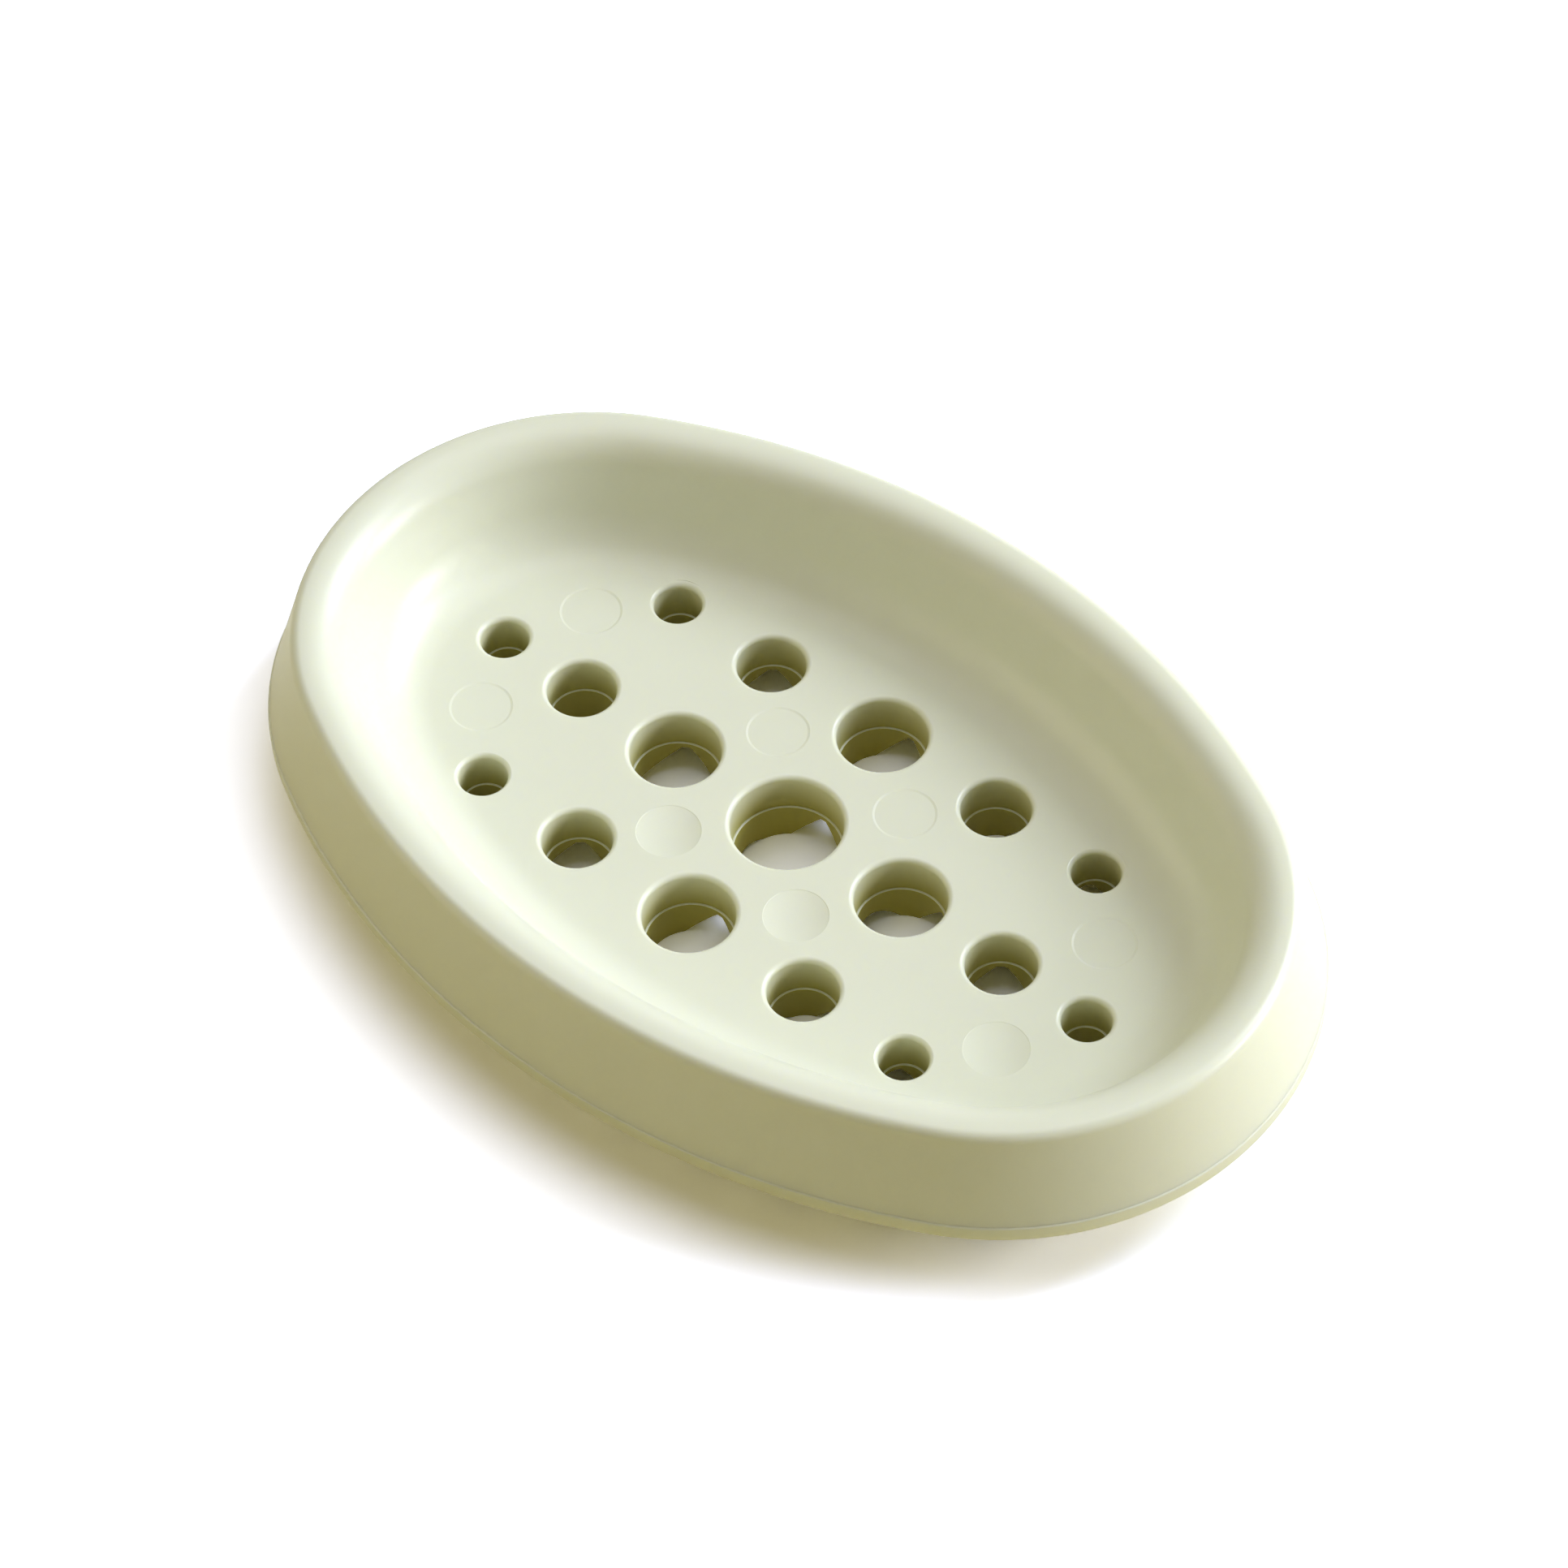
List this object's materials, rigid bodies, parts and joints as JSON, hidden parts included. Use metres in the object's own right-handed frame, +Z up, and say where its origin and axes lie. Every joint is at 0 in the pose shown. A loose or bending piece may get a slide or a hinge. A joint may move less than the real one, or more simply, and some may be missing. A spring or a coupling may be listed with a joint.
{
  "type": "soap dish",
  "caption": "Oval soap dish of two nested moulded pieces: a round-rimmed draining tray with graded holes over a ribbed base that stands flat.",
  "frame": {"origin": "on the surface the dish stands on, under the middle of the dish and of its middle drain hole", "axes": "+Z up, +X along the dish's length, +Y across it"},
  "size_m": [0.1256, 0.0828, 0.0207],
  "materials": {
    "tray_plastic": "pale sage moulded plastic, satin",
    "base_plastic": "pale sage moulded plastic, satin"
  },
  "bodies": {
    "root": {"tray": "tray_plastic", "base": "base_plastic"}
  },
  "joints": []
}
